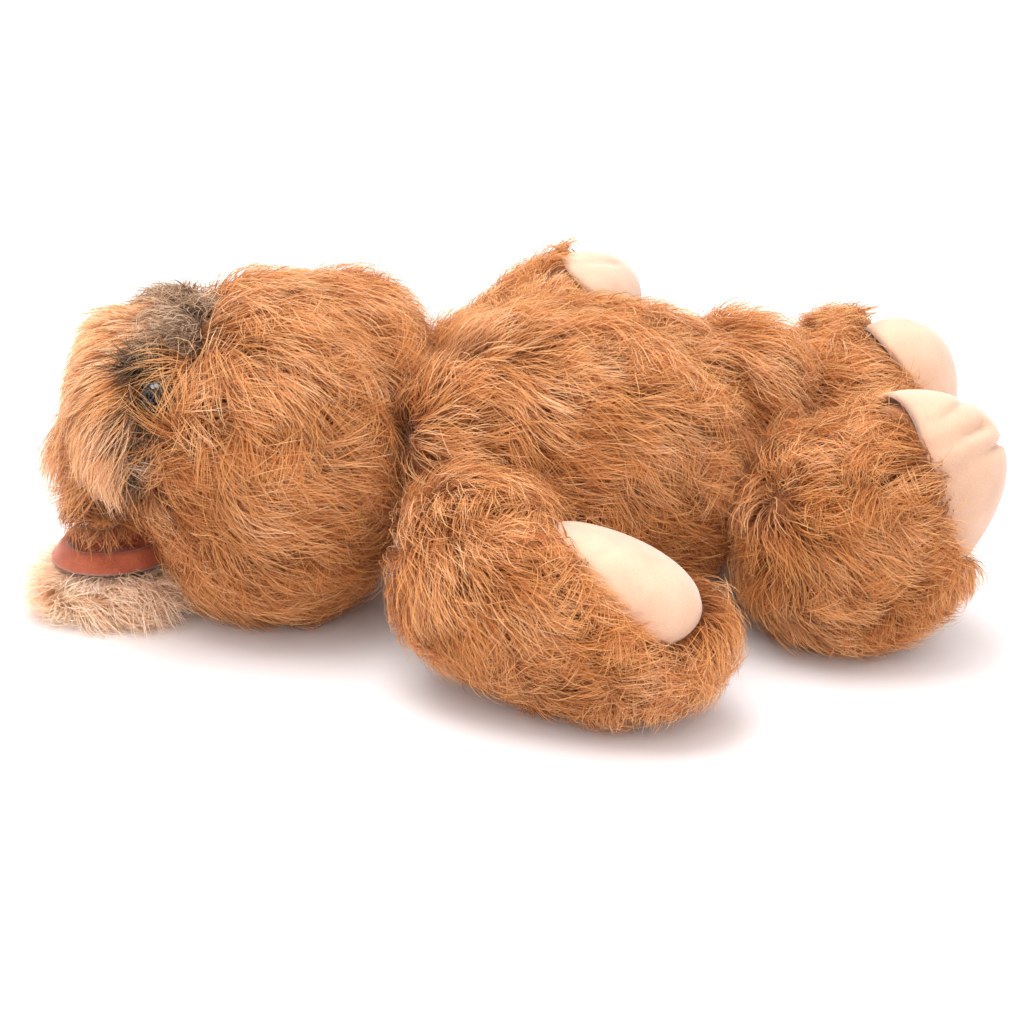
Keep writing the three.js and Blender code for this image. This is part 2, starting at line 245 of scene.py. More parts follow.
def makePile(name):
    material, tree = newMaterial(name)
    uv = addNode(tree, "ShaderNodeUVMap", uv_map=pileUv)
    split = addNode(tree, "ShaderNodeSeparateXYZ", feeds={"Vector": uv.outputs[0]})
    shade = addNode(tree, "ShaderNodeValToRGB", feeds={"Fac": split.outputs["X"]})
    colours = pileLook[name]
    setStops(shade.color_ramp, [(i / (len(colours) - 1), c) for i, c in enumerate(colours)])
    # painted shade towards the root, painted highlight at the tip
    depthShadeToTipHighlight = addNode(tree, "ShaderNodeValToRGB", feeds={"Fac": split.outputs["Y"]})
    fade = zip(pileDepthShadeStops, pileDepthShadeAndTipHighlight[name])
    setStops(depthShadeToTipHighlight.color_ramp, [(place, [*tint, 1]) for place, tint in fade])
    stretch = addNode(tree, "ShaderNodeMapping", {"Scale": pileSurface["streaks"]},
                      {"Vector": uv.outputs[0]})
    streak = addNode(tree, "ShaderNodeTexNoise", {"Scale": 1.0, "Detail": 2.0},
                     {"Vector": stretch.outputs[0]})
    fleck = addNode(tree, "ShaderNodeMapRange",
                    {"From Min": 0.3, "From Max": 0.7, "To Min": pileSurface["fleckDark"],
                     "To Max": pileSurface["fleckLight"]},
                    {"Value": streak.outputs[0]})
    toned = addNode(tree, "ShaderNodeMix", {"Factor": 1.0},
                    data_type="RGBA", blend_type="MULTIPLY")
    tree.links.new(shade.outputs[0], toned.inputs[6])
    tree.links.new(depthShadeToTipHighlight.outputs[0], toned.inputs[7])
    flecked = addNode(tree, "ShaderNodeVectorMath",
                      feeds={0: toned.outputs[2], "Scale": fleck.outputs[0]},
                      operation="SCALE")
    shader = addNode(tree, "ShaderNodeBsdfPrincipled", {
        "Roughness": pileSurface["roughness"], "Specular IOR Level": pileSurface["shine"],
        "Sheen Weight": pileSurface["sheen"], "Sheen Roughness": pileSurface["sheenRoughness"]},
        {"Base Color": flecked.outputs[0]})
    glow = addNode(tree, "ShaderNodeBsdfTranslucent", feeds={"Color": flecked.outputs[0]})
    mixed = addNode(tree, "ShaderNodeMixShader", {0: pileSurface["seenThrough"]},
                    {1: shader.outputs[0], 2: glow.outputs[0]})
    addNode(tree, "ShaderNodeOutputMaterial", feeds={"Surface": mixed.outputs[0]})
    return material


# Knitted backing with the short under-fibres: matt, dark, seen only where the pile parts.
backingLook = {"dark": "7A4118", "light": "B87A42", "nap": 1.5, "brush": 12.0}
# Velour: short upright nap that brushes light and dark, soft edge glow. nap and brush are the
# grain sizes in mm.
velourLook = {
    "creamVelour": {"dark": "C99E84", "light": "DDB79C", "nap": 0.5, "brush": 14.0},
    "terracottaVelour": {"dark": "8E4128", "light": "C2684A", "nap": 0.5, "brush": 9.0},
    "noseVelour": {"dark": "22130C", "light": "4A2E20", "nap": 0.5, "brush": 6.0},
    "washerPlastic": {"dark": "D8D6D0", "light": "ECEAE4", "nap": 0.8, "brush": 5.0},
    "creamBacking": {"dark": "C79B72", "light": "E8C9A4", "nap": 1.5, "brush": 12.0},
}


clothSurface = {"roughness": 0.85, "shine": 0.15, "sheen": 0.5, "sheenRoughness": 0.5,
                "bump": 0.5, "bumpDepth": 0.25}


def makeVelour(name, dark, light, nap, brush):
    material, tree = newMaterial(name)
    where = addNode(tree, "ShaderNodeTexCoord")
    fine = addNode(tree, "ShaderNodeTexNoise", {"Scale": 1 / (nap * mm), "Detail": 3.0},
                   {"Vector": where.outputs["Object"]})
    broad = addNode(tree, "ShaderNodeTexNoise", {"Scale": 1 / (brush * mm), "Detail": 4.0},
                    {"Vector": where.outputs["Object"]})
    both = addNode(tree, "ShaderNodeMath", {2: 0.0}, {0: fine.outputs[0], 1: broad.outputs[0]},
                   operation="ADD")
    blend = addNode(tree, "ShaderNodeMapRange", {"From Min": 0.65, "From Max": 1.35},
                    {"Value": both.outputs[0]})
    tone = addNode(tree, "ShaderNodeValToRGB", feeds={"Fac": blend.outputs[0]})
    setStops(tone.color_ramp, [(0.0, dark), (1.0, light)])
    bump = addNode(tree, "ShaderNodeBump", {
        "Strength": clothSurface["bump"], "Distance": clothSurface["bumpDepth"] * mm},
        {"Height": fine.outputs[0]})
    shader = addNode(tree, "ShaderNodeBsdfPrincipled", {
        "Roughness": clothSurface["roughness"], "Specular IOR Level": clothSurface["shine"],
        "Sheen Weight": clothSurface["sheen"],
        "Sheen Roughness": clothSurface["sheenRoughness"]},
        {"Base Color": tone.outputs[0], "Normal": bump.outputs[0]})
    addNode(tree, "ShaderNodeOutputMaterial", feeds={"Surface": shader.outputs[0]})
    return material


# Moulded acrylic eye: black, polished, a trace of brown at the rim.
eyeLook = {"core": "050403", "rim": "2A1710", "rimSpread": 0.25, "roughness": 0.06,
           "refraction": 1.49, "coat": 0.6, "coatRoughness": 0.03}


def makeEyePlastic():
    material, tree = newMaterial("polishedEyeAcrylic")
    edge = addNode(tree, "ShaderNodeLayerWeight", {"Blend": eyeLook["rimSpread"]})
    tone = addNode(tree, "ShaderNodeValToRGB", feeds={"Fac": edge.outputs["Facing"]})
    setStops(tone.color_ramp, [(0.0, eyeLook["core"]), (1.0, eyeLook["rim"])])
    shader = addNode(tree, "ShaderNodeBsdfPrincipled", {
        "Roughness": eyeLook["roughness"], "IOR": eyeLook["refraction"],
        "Coat Weight": eyeLook["coat"], "Coat Roughness": eyeLook["coatRoughness"]},
        {"Base Color": tone.outputs[0]})
    addNode(tree, "ShaderNodeOutputMaterial", feeds={"Surface": shader.outputs[0]})
    return material


materials = {name: makePile(name) for name in pileLook}
materials["brownBacking"] = makeVelour("brownBacking", **backingLook)
for velourName, look in velourLook.items():
    materials[velourName] = makeVelour(velourName, **look)
materials["eyePlastic"] = makeEyePlastic()
print("materials ready")


def meshArrays(obj):
    mesh = obj.data
    mesh.calc_loop_triangles()
    verts = np.empty(len(mesh.vertices) * 3)
    mesh.vertices.foreach_get("co", verts)
    normals = np.empty(len(mesh.vertices) * 3)
    mesh.vertex_normals.foreach_get("vector", normals)
    tris = np.empty(len(mesh.loop_triangles) * 3, dtype=np.int64)
    mesh.loop_triangles.foreach_get("vertices", tris)
    return verts.reshape(-1, 3), tris.reshape(-1, 3), normals.reshape(-1, 3)


def applyModifiers(obj):
    graph = bpy.context.evaluated_depsgraph_get()
    made = bpy.data.meshes.new_from_object(obj.evaluated_get(graph))
    old = obj.data
    obj.modifiers.clear()
    obj.data = made
    bpy.data.meshes.remove(old)
    made.name = obj.name


def keepLargest(obj):
    work = bmesh.new()
    work.from_mesh(obj.data)
    left = set(work.verts)
    islands = []
    while left:
        seed = left.pop()
        island = {seed}
        edge = [seed]
        while edge:
            vert = edge.pop()
            for e in vert.link_edges:
                other = e.other_vert(vert)
                if other in left:
                    left.remove(other)
                    island.add(other)
                    edge.append(other)
        islands.append(island)
    islands.sort(key=len)
    for island in islands[:-1]:
        bmesh.ops.delete(work, geom=list(island), context="VERTS")
    work.to_mesh(obj.data)
    work.free()


def smoothFaces(obj):
    obj.data.polygons.foreach_set("use_smooth", np.ones(len(obj.data.polygons), bool))


def dress(obj, body, material, replaced=()):
    obj.data.materials.clear()
    obj.data.materials.append(materials[material])
    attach(obj, body)
    if replaced:
        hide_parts(*replaced)


# Each stuffed piece: panels and filling fused to one swollen body, sunk a little under the
# laid pile. "swell" adds the soft bulges the filling pushes out, as [centre, radii] in mm.
skinPlan = {
    "torso": {
        "nodes": ["back_panel_left", "back_panel_right", "belly_panel", "torso_filling"],
        "inset": 5.5, "fill": 0.75,
        "swell": [[(98, 24, 90), (34, 38, 32)], [(-22, 30, 80), (34, 34, 38)],
                  [(-20, -24, 80), (36, 34, 36)]]},
    "neck": {"nodes": ["neck_filling"], "inset": 1.0, "fill": 0.8, "swell": []},
    "head": {
        "nodes": ["head_panel_left", "head_panel_right", "snout_panel_left",
                  "snout_panel_right", "eye_band", "head_filling"],
        "inset": 4.5, "fill": 0.8,
        "swell": [[(-80, 12, 103), (38, 46, 41)], [(-176, -2, 78), (27, 44, 27)]]},
    "jaw": {"nodes": ["jaw_panel", "jaw_filling"], "inset": 5.0, "fill": 0.6, "swell": []},
    "arm_left": {
        "nodes": ["arm_left_back_panel", "arm_left_front_panel", "arm_left_filling"],
        "inset": 8.0, "fill": 0.75, "swell": [[(-14, -82, 64), (36, 30, 30)]]},
    "arm_right": {
        "nodes": ["arm_right_back_panel", "arm_right_front_panel", "arm_right_filling"],
        "inset": 9.0, "fill": 0.75, "swell": []},
    "leg_left": {
        "nodes": ["leg_left_outer_panel", "leg_left_inner_panel", "leg_left_filling"],
        "inset": 7.5, "fill": 0.8, "swell": [[(171, -52, 83), (36, 38, 37)]]},
    "leg_right": {
        "nodes": ["leg_right_outer_panel", "leg_right_inner_panel", "leg_right_filling"],
        "inset": 5.5, "fill": 0.8,
        "swell": [[(160, 62, 80), (36, 38, 31)], [(173, 56, 74), (35, 36, 34)]]},
    "lip": {"nodes": ["upper_lip"], "inset": 3.5, "fill": 0.7, "swell": []},
}
skinMesh = {"voxel": 3.5, "rounding": 10, "roundingStep": 0.6, "floorLift": 0.6}


def fusedSkin(name, plan):
    work = bmesh.new()
    for nodeName in plan["nodes"]:
        work.from_mesh(frame["nodes"][nodeName].data)
    for centre, radii in plan["swell"]:
        ball = bmesh.ops.create_uvsphere(work, u_segments=32, v_segments=20, radius=1)
        for vert in ball["verts"]:
            vert.co = Vector([(c + r * v) * mm for c, r, v in zip(centre, radii, vert.co)])
    mesh = bpy.data.meshes.new(name)
    work.to_mesh(mesh)
    work.free()
    obj = linkObject(name, mesh)
    fuse = obj.modifiers.new("fuse", "REMESH")
    fuse.mode = "VOXEL"
    fuse.voxel_size = skinMesh["voxel"] * mm
    soften = obj.modifiers.new("soften", "SMOOTH")
    soften.iterations = skinMesh["rounding"]
    soften.factor = skinMesh["roundingStep"]
    applyModifiers(obj)
    keepLargest(obj)
    verts, tris, normals = meshArrays(obj)
    verts = verts - normals * plan["inset"] * mm
    verts[:, 2] = np.maximum(verts[:, 2], skinMesh["floorLift"] * mm)
    obj.data.vertices.foreach_set("co", verts.ravel())
    obj.data.update()
    smoothFaces(obj)
    return obj


skins = {}
for part, plan in skinPlan.items():
    skins[part] = fusedSkin(f"{part}_stuffed_skin", plan)
dress(skins["torso"], "torso", "brownBacking", ["torso_filling"])
dress(skins["neck"], "neck", "brownBacking", ["neck_filling"])
dress(skins["head"], "head", "brownBacking", ["head_filling"])
dress(skins["jaw"], "jaw", "creamBacking", ["jaw_filling"])
dress(skins["lip"], "head", "brownBacking", ["upper_lip"])
for limb in ("arm_left", "arm_right", "leg_left", "leg_right"):
    dress(skins[limb], limb, "brownBacking", [f"{limb}_filling"])
print("skins ready", {b: len(s.data.vertices) for b, s in skins.items()})


def scatter(verts, tris, normals, spacing, keep):
    a, b, c = verts[tris[:, 0]], verts[tris[:, 1]], verts[tris[:, 2]]
    area = np.linalg.norm(np.cross(b - a, c - a), axis=1) / 2
    count = int(area.sum() / (spacing * mm) ** 2)
    pick = np.searchsorted(np.cumsum(area) / area.sum(), rng.random(count))
    s, t = np.sqrt(rng.random(count)), rng.random(count)
    weights = np.stack([1 - s, s * (1 - t), s * t], 1)
    points = np.einsum("ij,ijk->ik", weights, verts[tris[pick]])
    up = unit(np.einsum("ij,ijk->ik", weights, normals[tris[pick]]))
    kept = keep(points)
    return points[kept], up[kept]


# Velour pads: a puffed oval sewn into the pile, with stitched creases.
# Creases run from (u, v) to (u, v) in shares of the pad's half length and half width, then
# depth and width in mm. "lapped" points to the side where the pile laps over the pad.
padPlan = {
    "palm_left": {
        "limb": "arm_left", "dome": 8.0, "rim": 2.5, "egg": 0.0, "grow": (0.98, 1.0),
        "shift": (-16, 7), "lapped": (0.35, -0.94), "lap": 0.42,
        "creases": [[-0.84, -0.30, -0.58, -0.06, 4.0, 1.5]]},
    "palm_right": {
        "limb": "arm_right", "dome": 8.0, "rim": 2.5, "egg": 0.0, "grow": (1.0, 1.0),
        "shift": (0, 0), "lapped": (0.35, 0.94), "lap": 0.42,
        "creases": [[-0.84, 0.30, -0.58, 0.06, 4.0, 1.5]]},
    "sole_left": {
        "limb": "leg_left", "dome": 14.0, "rim": 1.5, "egg": -0.06, "grow": (0.96, 1.06),
        "shift": (1, -3), "lapped": (-0.6, 0.8), "lap": 0.36,
        "creases": [[0.58, 0.0, 0.66, 1.2, 4.0, 1.8], [0.02, -0.1, 0.14, 1.0, 4.0, 1.7],
                    [0.32, 0.4, 0.42, 0.9, 4.5, 2.0]]},
    "sole_right": {
        "limb": "leg_right", "dome": 14.0, "rim": 1.5, "egg": -0.06, "grow": (0.9, 0.9),
        "shift": (-9, -5), "lapped": (-0.6, -0.8), "lap": 0.3,
        "creases": [[0.66, -1.2, 0.58, 0.0, 4.0, 1.8], [0.14, -1.0, 0.02, 0.1, 4.0, 1.7]]},
}
padRings = 22
padSpokes = 72
padShape = {
    "squareness": 0.92,  # below 1 the oval's shoulders fill out
    "domeFlat": 3.0,  # higher keeps the top flatter
    "domeEdge": 0.6,
    "creaseCore": 0.7,  # share of a crease that is the sharp stitch line
    "creaseSpread": 2.5,  # width of the soft rest, in stitch widths
    "creaseLimit": 0.8,  # deepest crease, as a share of the puff
    "sunk": 2.5,  # mm the pad's underside sits in the limb
}
hugSamples = np.linspace(-0.95, 0.95, 15)
hugReach = 0.9
hugFrom = 0.05  # metres off the limb where the measuring rays start


def padFrame(nodeName, limb):
    # the pad's middle, its long, cross and outward axes, and its half sizes
    points, _ = scatter(*meshArrays(frame["nodes"][nodeName]), 1.0, lambda p: p[:, 2] > 0)
    middle = points.mean(0)
    axes = np.linalg.svd(points - middle, full_matrices=False)[2]
    limbMiddle = meshArrays(skins[limb])[0].mean(0)
    along, facing = axes[0], axes[2]
    facing = facing * np.sign(facing @ (middle - limbMiddle))
    if limb.startswith("arm"):
        along = along * np.sign(along @ (middle - jointAt(f"shoulder_{limb[4:]}_swing")))
    else:
        along = along * np.sign(along[2])
    across = np.cross(facing, along)
    axes = np.array([along, across, facing])
    local = (points - middle) @ axes.T
    middle = middle + ((local.min(0) + local.max(0)) / 2) @ axes
    half = (local.max(0) - local.min(0)) / 2
    return {"middle": middle, "axes": axes, "half": half}


def jointAt(name):
    return np.array([j for j in frame["joints"] if j["name"] == name][0]["pos_m"])


def hugged(shape, limb):
    # the limb's surface under the pad, as one smooth bowed sheet
    skin = BVHTree.FromPolygons(*skinPolygons(skins[limb]))
    facing = Vector(shape["axes"][2])
    samples, heights = [], []
    for u in hugSamples:
        for v in hugSamples:
            if u * u + v * v > hugReach:
                continue
            place = shape["middle"] + (u * shape["half"][0] * shape["axes"][0]
                                       + v * shape["half"][1] * shape["axes"][1])
            hit = skin.ray_cast(Vector(place) + facing * hugFrom, -facing)[0]
            if hit is not None:
                samples.append((1, u, v, u * u, u * v, v * v))
                heights.append((np.array(hit) - shape["middle"]) @ shape["axes"][2])
    return np.linalg.lstsq(np.array(samples), np.array(heights), rcond=None)[0]


def bowed(bow, u, v):
    # height of the bowed sheet at a place on the pad
    return bow[0] + bow[1] * u + bow[2] * v + bow[3] * u * u + bow[4] * u * v + bow[5] * v * v


def skinPolygons(obj):
    verts, tris, _ = meshArrays(obj)
    return [Vector(v) for v in verts], tris.tolist()


def ovalSheet(verts, faces, grid, flip):
    # adds one round sheet, given as rings of points from its middle outwards
    base = len(verts)
    verts.append(grid[0, 0])
    verts.extend(grid[1:].reshape(-1, 3))
    for k in range(padSpokes):
        n = (k + 1) % padSpokes
        fan = [base, base + 1 + k, base + 1 + n]
        faces.append(fan[::-1] if flip else fan)
        for i in range(padRings - 2):
            near, far = base + 1 + i * padSpokes, base + 1 + (i + 1) * padSpokes
            quad = [near + k, far + k, far + n, near + n]
            faces.append(quad[::-1] if flip else quad)
    return base + 1 + (padRings - 2) * padSpokes


def closedOval(name, top, low):
    verts, faces = [], []
    rimTop = ovalSheet(verts, faces, top, False)
    rimLow = ovalSheet(verts, faces, low, True)
    for k in range(padSpokes):
        n = (k + 1) % padSpokes
        faces.append([rimTop + k, rimLow + k, rimLow + n, rimTop + n])
    work = bmesh.new()
    made = [work.verts.new(v) for v in verts]
    for face in faces:
        work.faces.new([made[i] for i in face])
    bmesh.ops.recalc_face_normals(work, faces=work.faces)
    mesh = bpy.data.meshes.new(name)
    work.to_mesh(mesh)
    work.free()
    obj = linkObject(name, mesh)
    smoothFaces(obj)
    return obj


def ringGrid():
    r = np.linspace(0, 1, padRings)[:, None]
    angle = np.linspace(0, 2 * math.pi, padSpokes, endpoint=False)[None]
    return r, angle


def makePad(name, plan):
    shape = padFrame(name, plan["limb"])
    shape["middle"] = shape["middle"] + np.array([*plan["shift"], 0]) * mm @ shape["axes"]
    shape["half"] = half = shape["half"] * np.array([*plan["grow"], 1.0])
    bow = hugged(shape, plan["limb"])
    r, angle = ringGrid()
    square = padShape["squareness"]
    u = r * np.sign(np.cos(angle)) * np.abs(np.cos(angle)) ** square
    v = r * np.sign(np.sin(angle)) * np.abs(np.sin(angle)) ** square
    v = v * (1 + plan["egg"] * u)
    ground = bowed(bow, u, v)
    dome = (1 - r ** padShape["domeFlat"]) ** padShape["domeEdge"]
    puff = plan["dome"] * mm * dome + plan["rim"] * mm
    core = padShape["creaseCore"]
    dent = 0 * u
    for u0, v0, u1, v1, depth, width in plan["creases"]:
        start = np.array([u0, v0]) * half[:2]
        step = np.array([u1, v1]) * half[:2] - start
        du, dv = u * half[0] - start[0], v * half[1] - start[1]
        share = np.clip((du * step[0] + dv * step[1]) / (step @ step), 0, 1)
        gap = np.hypot(du - share * step[0], dv - share * step[1])
        stitch = np.exp(-(gap / (width * mm)) ** 2)
        gather = np.exp(-gap / (padShape["creaseSpread"] * width * mm))
        dent = dent + depth * mm * (core * stitch + (1 - core) * gather)
    puff = puff - np.minimum(dent, padShape["creaseLimit"] * puff)
    underside = ground - padShape["sunk"] * mm
    top = np.stack([u * half[0], v * half[1], ground + puff], -1) @ shape["axes"]
    low = np.stack([u * half[0], v * half[1], underside], -1) @ shape["axes"]
    obj = closedOval(f"{name}_pad", top + shape["middle"], low + shape["middle"])
    dress(obj, plan["limb"], "creamVelour", [name])
    shape["bow"] = bow
    shape["lapped"] = plan["lap"] * np.array(plan["lapped"])
    return shape


pads = {name: makePad(name, plan) for name, plan in padPlan.items()}
print("pads ready")


# Mouth linings: flat ovals with a rolled lip and a sunken middle.
liningPlan = {
    "jaw_lining": {"body": "jaw", "ridge": 9.0, "hollow": -5.0, "edge": -3.0, "up": 1,
                   "grow": 0.93, "raise": 6.0},
    "palate_lining": {"body": "head", "ridge": 3.0, "hollow": -7.0, "edge": -2.0, "up": -1,
                      "grow": 0.80, "raise": 7.0},
}
liningRoll = {"at": 0.78, "width": 0.16, "thickness": 2.0}  # shares of the half size, then mm


def makeLining(name, plan):
    low, high = nodeBox(name)
    middle = (low + high) / 2 + np.array([0, 0, plan["raise"] * mm])
    flat = (nodePoints(name) - middle)[:, :2]
    axes = np.linalg.svd(flat, full_matrices=False)[2]
    half = np.abs(flat @ axes.T).max(0) * plan["grow"]
    r, angle = ringGrid()
    u, v = r * np.cos(angle), r * np.sin(angle)
    roll = np.exp(-((r - liningRoll["at"]) / liningRoll["width"]) ** 2)
    height = plan["hollow"] * (1 - r ** 4) + plan["ridge"] * roll + plan["edge"] * r ** 6 + 0 * u
    place = np.stack([u * half[0], v * half[1]], -1) @ axes
    sheets = []
    for drop in (0.0, liningRoll["thickness"]):
        rise = plan["up"] * (height - drop)[..., None] * mm
        sheets.append(np.concatenate([place, rise], -1) + middle)
    obj = closedOval(f"{name}_velour", *sheets)
    dress(obj, plan["body"], "terracottaVelour", [name])


for name, plan in liningPlan.items():
    makeLining(name, plan)


# Moulded and small sewn parts: the frame's own solids rounded off.
def rounded(nodeName, newName, body, material, levels=2):
    mesh = frame["nodes"][nodeName].data.copy()
    obj = linkObject(newName, mesh)
    finer = obj.modifiers.new("finer", "SUBSURF")
    finer.levels = levels
    applyModifiers(obj)
    smoothFaces(obj)
    dress(obj, body, material, [nodeName])


for side in ("left", "right"):
    rounded(f"eye_{side}", f"eye_{side}_moulded", "head", "eyePlastic")
    rounded(f"eye_washer_{side}", f"eye_washer_{side}_moulded", "head", "washerPlastic",
            1)
rounded("nose", "nose_velour_cover", "head", "noseVelour")
print("linings, eyes and nose ready")


# Long pile: every fibre is a tapered ribbon that leaves the backing, bends over and lies down.
pileShape = {
    "spacing": 1.05,  # mm between roots
    "length": 27.0,
    "lift": 62.0,  # degrees off the backing at the root
    "layDown": 1.6,
    "tipLift": 10.0,
    "bodyRadius": 62.0,  # mm, how a laid fibre follows the body round
    "width": 0.42,
    "tipWidth": 0.10,
    "clumpSpacing": 5.0,
    "clumping": 0.58,
    "wander": 0.85,
    "wanderSize": 34.0,
    "stray": 0.42,
    "frizz": 1.0,
    "lengthSpread": 0.24,
}
pileSpread = {
    "lengthOfTufts": 0.5,  # how far tufts differ in length, in shares of lengthSpread
    "liftOfTufts": 0.22,
    "liftInTuft": 0.2,
    "shortest": 0.3,
    "longest": 1.4,
    "pullRise": 1.6,  # higher gathers the tufts nearer the tips
    "pullLeast": 0.3,
    "pullMost": 1.15,
    "bendLeast": 3,
    "bendMost": 8,
    "twist": 0.6,
    "thinnest": 0.75,
    "thickest": 1.3,
    "floorGap": 0.4,  # mm, and how much more at most
    "floorGapSpread": 0.8,
}
toneSpread = {"patchSize": 34, "patches": 0.14, "fibres": 0.13, "tufts": 0.08}
padEdge = {
    "lapFrom": 0.14,
    "roots": 0.97,  # no roots inside this share of a pad's outline
    "behind": -0.015,  # metres under the pad's sheet that count as the limb's other side
    "turnFrom": 1.45,  # pile starts to turn away from the pad here
    "turnOver": 0.4,
    "turnBehind": -0.02,
    "turnStrength": 1.3,
    "overlap": 0.88,  # fibres that reach further in than this are cut out
    "overlapBehind": -0.004,
}
rows = 5  # lengths that each fibre is bent in


def inPad(points, pad):
    # how far out from a pad's middle, as a share of its outline, and the height over its sheet
    local = (points - pad["middle"]) @ pad["axes"].T
    u, v = local[..., 0] / pad["half"][0], local[..., 1] / pad["half"][1]
    lap = np.clip(u * pad["lapped"][0] + v * pad["lapped"][1] - padEdge["lapFrom"], 0, 1)
    return np.hypot(u, v) + lap, local[..., 2] - bowed(pad["bow"], u, v), local


def fibrePaths(roots, up, along, length, lift, shape):
    steps = np.linspace(0, 1, rows + 1)
    paths = np.empty((len(roots), rows + 1, 3))
    paths[:, 0] = roots
    place = roots.copy()
    for i in range(1, rows + 1):
        t = (steps[i - 1] + steps[i]) / 2
        rise = np.radians(lift) * (1 - t) ** shape["layDown"] + math.radians(shape["tipLift"]) * t
        rise = rise - length * t / shape["bodyRadius"]
        step = length[:, None] * mm / rows
        place = place + step * (np.cos(rise)[:, None] * along + np.sin(rise)[:, None] * up)
        paths[:, i] = place
    return paths


def onSurface(direction, up):
    return unit(direction - up * np.sum(direction * up, 1, keepdims=True))


def growPile(name, body, skin, material, slot, flow, keep, replaced=(), shade=None, pad=None,
             trim=None, clear=None, **changes):
    shape = {**pileShape, **changes}
    arrays = meshArrays(skin)

    def rooted(points):
        if pad is None:
            return keep(points)
        share, height, _ = inPad(points, pad)
        return keep(points) & ((share > padEdge["roots"]) | (height < padEdge["behind"]))

    roots, up = scatter(*arrays, shape["spacing"], rooted)
    heads, headUp = scatter(*arrays, shape["clumpSpacing"], rooted)
    tree = kdtree.KDTree(len(heads))
    for i, p in enumerate(heads):
        tree.insert(p, i)
    tree.balance()
    owner = np.array([tree.find(p)[1] for p in roots])

    def laid(points, normal):
        direction = flow(points, normal)
        direction = direction + shape["wander"] * smoothNoise(points, shape["wanderSize"] * mm, 7)
        if pad is not None:
            share, height, local = inPad(points, pad)
            outward = local * np.array([1, 1, 0])
            outward = unit(outward) @ pad["axes"]
            near = np.clip((padEdge["turnFrom"] - share) / padEdge["turnOver"], 0, 1)
            near = (near * (height > padEdge["turnBehind"]))[:, None]
            direction = direction * (1 - near) + padEdge["turnStrength"] * outward * near
        return onSurface(direction, normal)

    headRandom = rng.normal(size=(len(heads), 3))
    headAlong = onSurface(laid(heads, headUp) + shape["stray"] * headRandom, headUp)
    tuftSpread = pileSpread["lengthOfTufts"] * shape["lengthSpread"]
    headLength = shape["length"] * (1 + tuftSpread * rng.normal(size=len(heads)))
    if trim is not None:
        headLength = headLength * trim(heads)
    headLift = shape["lift"] * (1 + pileSpread["liftOfTufts"] * rng.normal(size=len(heads)))
    headPaths = fibrePaths(heads, headUp, headAlong, headLength, headLift, shape)
    along = unit(0.5 * headAlong[owner] + laid(roots, up))
    along = onSurface(along + shape["stray"] * rng.normal(size=roots.shape), up)
    length = headLength[owner] * (1 + shape["lengthSpread"] * rng.normal(size=len(roots)))
    length = np.clip(length, pileSpread["shortest"] * shape["length"],
                     pileSpread["longest"] * shape["length"])
    lift = headLift[owner] * (1 + pileSpread["liftInTuft"] * rng.normal(size=len(roots)))
    paths = fibrePaths(roots, up, along, length, lift, shape)
    t = np.linspace(0, 1, rows + 1)
    pull = shape["clumping"] * t ** pileSpread["pullRise"] * rng.uniform(
        pileSpread["pullLeast"], pileSpread["pullMost"], (len(roots), 1))
    pull = np.clip(pull, 0, 1)[..., None]
    paths = paths * (1 - pull) + headPaths[owner] * pull
    side = unit(np.cross(up, along))
    wave = rng.uniform(0, fullTurn, (len(roots), 2))
    turns = rng.uniform(pileSpread["bendLeast"], pileSpread["bendMost"], (2, len(roots), 1))
    bend = np.sin(wave[:, :1] + t * turns[0]) * t
    rock = np.sin(wave[:, 1:] + t * turns[1]) * t
    paths += shape["frizz"] * mm * (bend[..., None] * side[:, None]
                                    + 0.6 * rock[..., None] * up[:, None])
    patches = smoothNoise(roots, toneSpread["patchSize"] * mm, 19, 1)[:, 0]
    tone = 0.5 + toneSpread["patches"] * patches
    tone = tone + toneSpread["fibres"] * rng.normal(size=len(roots))
    tone = tone + toneSpread["tufts"] * headRandom[owner, 0]
    # shifts of tone by place: painted top light, and for the band darker round the eyes
    if shade is not None:
        tone = tone + shade(roots)
    if pad is not None:
        share, height, _ = inPad(paths, pad)
        over = ((share < padEdge["overlap"]) & (height > padEdge["overlapBehind"])).any(1)
        paths, up, tone = paths[~over], up[~over], tone[~over]
    if clear is not None:
        kept = clear(paths)
        paths, up, tone = paths[kept], up[kept], tone[kept]
    gapSpread = pileSpread["floorGapSpread"] * rng.random((len(paths), 1))
    floorGap = (pileSpread["floorGap"] + gapSpread) * mm
    paths[..., 2] = np.maximum(paths[..., 2], floorGap)
    obj = ribbons(name, paths, up, shape, np.clip(tone, 0.02, 0.98))
    dress(obj, body, material, replaced)
    print(f"{name}: {len(paths)} fibres")


